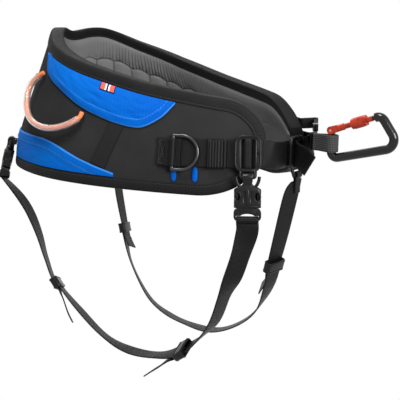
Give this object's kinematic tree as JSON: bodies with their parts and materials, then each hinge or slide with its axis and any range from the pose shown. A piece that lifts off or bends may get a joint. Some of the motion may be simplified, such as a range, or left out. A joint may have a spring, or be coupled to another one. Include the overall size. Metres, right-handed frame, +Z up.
{
  "type": "climbing harness",
  "caption": "padded waist belt with two webbing leg loops on clips, side rings, gear loops and a swinging tow carabiner with a sprung gate and sliding lock sleeve",
  "frame": {"origin": "centre of the waist opening, on the belt's waist line", "axes": "+X the wearer's front, where the carabiner hangs; +Y the wearer's left; +Z up"},
  "size_m": [0.5398, 0.291, 0.4282],
  "materials": {
    "shell_cloth": "dense charcoal woven cloth",
    "foam": "closed-cell foam, hidden between the shell and the lining",
    "lining_cloth": "padded grey mesh lining",
    "binding_tape": "ribbed black binding tape",
    "blue_cloth": "fine blue ripstop cloth",
    "band_tape": "textured black tape",
    "tag_cloth": "woven ribbon with stripes",
    "cord": "peach coloured braided cord",
    "clear_sheath": "clear flexible tube",
    "webbing": "black woven webbing",
    "dark_metal": "dark grey coated metal",
    "black_plastic": "moulded black plastic",
    "gloss_black": "gloss black anodised alloy",
    "orange_anodised": "orange-red anodised alloy",
    "pin_steel": "bright steel pin"
  },
  "bodies": {
    "belt": {"outer_shell": "shell_cloth", "foam_core": "foam", "inner_lining": "lining_cloth", "edge_binding": "binding_tape", "pocket_right": "blue_cloth", "pocket_left": "blue_cloth", "rear_panel_right": "blue_cloth", "rear_panel_left": "blue_cloth", "band_right": "band_tape", "band_left": "band_tape", "tabs_right": "blue_cloth", "tabs_left": "blue_cloth", "woven_tag": "tag_cloth", "gear_cord_right": "cord", "gear_cord_left": "cord", "gear_sheath_right": "clear_sheath", "gear_sheath_left": "clear_sheath", "side_strap_right": "webbing", "side_strap_left": "webbing", "ring_loop_right": "webbing", "ring_loop_left": "webbing", "keeper_right": "webbing", "keeper_left": "webbing", "plate_buckle_right": "dark_metal", "plate_buckle_left": "dark_metal", "bridge_strap": "webbing", "tow_strap": "webbing", "tow_slider": "dark_metal", "tie_loop": "webbing", "front_socket_right": "black_plastic", "front_plug_right": "black_plastic", "rear_socket_right": "black_plastic", "rear_plug_right": "black_plastic", "rear_socket_left": "black_plastic", "rear_plug_left": "black_plastic", "rear_tab_right": "black_plastic", "rear_tab_left": "black_plastic", "leg_front_right": "webbing", "leg_middle_right": "webbing", "leg_rear_right": "webbing", "leg_front_left": "webbing", "leg_middle_left": "webbing", "leg_rear_left": "webbing", "slider_front_right": "black_plastic", "slider_rear_right": "black_plastic", "slider_front_left": "black_plastic", "slider_rear_left": "black_plastic"},
    "right_ring": {"ring_right": "dark_metal"},
    "left_ring": {"ring_left": "dark_metal"},
    "carabiner": {"carabiner_body": "gloss_black", "nose_stub": "gloss_black", "gate_pin": "pin_steel"},
    "gate": {"carabiner_gate": "orange_anodised"},
    "sleeve": {"lock_sleeve": "orange_anodised"},
    "front_prong_a_right_body": {"front_prong_a_right": "black_plastic"},
    "front_prong_b_right_body": {"front_prong_b_right": "black_plastic"},
    "rear_prong_a_right_body": {"rear_prong_a_right": "black_plastic"},
    "rear_prong_b_right_body": {"rear_prong_b_right": "black_plastic"},
    "rear_prong_a_left_body": {"rear_prong_a_left": "black_plastic"},
    "rear_prong_b_left_body": {"rear_prong_b_left": "black_plastic"}
  },
  "joints": [
    {"name": "ring_right_tilt", "type": "hinge", "parent": "belt", "child": "right_ring", "pos_m": [0.06497, -0.10036, -0.0305], "axis": [0.0963, -0.2341, -0.9674], "range_deg": [0, 150]},
    {"name": "ring_left_tilt", "type": "hinge", "parent": "belt", "child": "left_ring", "pos_m": [0.06497, 0.10036, -0.0305], "axis": [-0.0963, -0.2341, 0.9674], "range_deg": [0, 150]},
    {"name": "carabiner_swing", "type": "hinge", "parent": "belt", "child": "carabiner", "pos_m": [0.211, 0, -0.0196], "axis": [0, 0, 1], "range_deg": [-60, 60]},
    {"name": "gate_open", "type": "hinge", "parent": "carabiner", "child": "gate", "pos_m": [0.211, 0, -0.0048], "axis": [0, 1, 0], "range_deg": [0, 25], "stiffness_Nm_per_rad": 0.05},
    {"name": "sleeve_slide", "type": "slide", "parent": "gate", "child": "sleeve", "axis": [0.9455, 0, 0.3256], "range_m": [0, 0.01]},
    {"name": "front_squeeze_a_right", "type": "hinge", "parent": "belt", "child": "front_prong_a_right_body", "pos_m": [0.1386, -0.08013, -0.08753], "axis": [-0.5421, 0.8287, -0.1392], "range_deg": [0, 5], "stiffness_Nm_per_rad": 0.4},
    {"name": "front_squeeze_b_right", "type": "hinge", "parent": "belt", "child": "front_prong_b_right_body", "pos_m": [0.15785, -0.06754, -0.08753], "axis": [0.5421, -0.8287, 0.1392], "range_deg": [0, 5], "stiffness_Nm_per_rad": 0.4},
    {"name": "rear_squeeze_a_right", "type": "hinge", "parent": "belt", "child": "rear_prong_a_right_body", "pos_m": [-0.21931, -0.10158, -0.07184], "axis": [0.6432, 0.7193, -0.2627], "range_deg": [0, 5], "stiffness_Nm_per_rad": 0.4},
    {"name": "rear_squeeze_b_right", "type": "hinge", "parent": "belt", "child": "rear_prong_b_right_body", "pos_m": [-0.20217, -0.11691, -0.07184], "axis": [-0.6432, -0.7193, 0.2627], "range_deg": [0, 5], "stiffness_Nm_per_rad": 0.4},
    {"name": "rear_squeeze_a_left", "type": "hinge", "parent": "belt", "child": "rear_prong_a_left_body", "pos_m": [-0.21931, 0.10158, -0.07184], "axis": [-0.6432, 0.7193, 0.2627], "range_deg": [0, 5], "stiffness_Nm_per_rad": 0.4},
    {"name": "rear_squeeze_b_left", "type": "hinge", "parent": "belt", "child": "rear_prong_b_left_body", "pos_m": [-0.20217, 0.11691, -0.07184], "axis": [0.6432, -0.7193, -0.2627], "range_deg": [0, 5], "stiffness_Nm_per_rad": 0.4}
  ],
  "couplings": [
    {"joint": "front_squeeze_b_right", "follows": "front_squeeze_a_right", "ratio": 1},
    {"joint": "rear_squeeze_b_right", "follows": "rear_squeeze_a_right", "ratio": 1},
    {"joint": "rear_squeeze_b_left", "follows": "rear_squeeze_a_left", "ratio": 1}
  ]
}
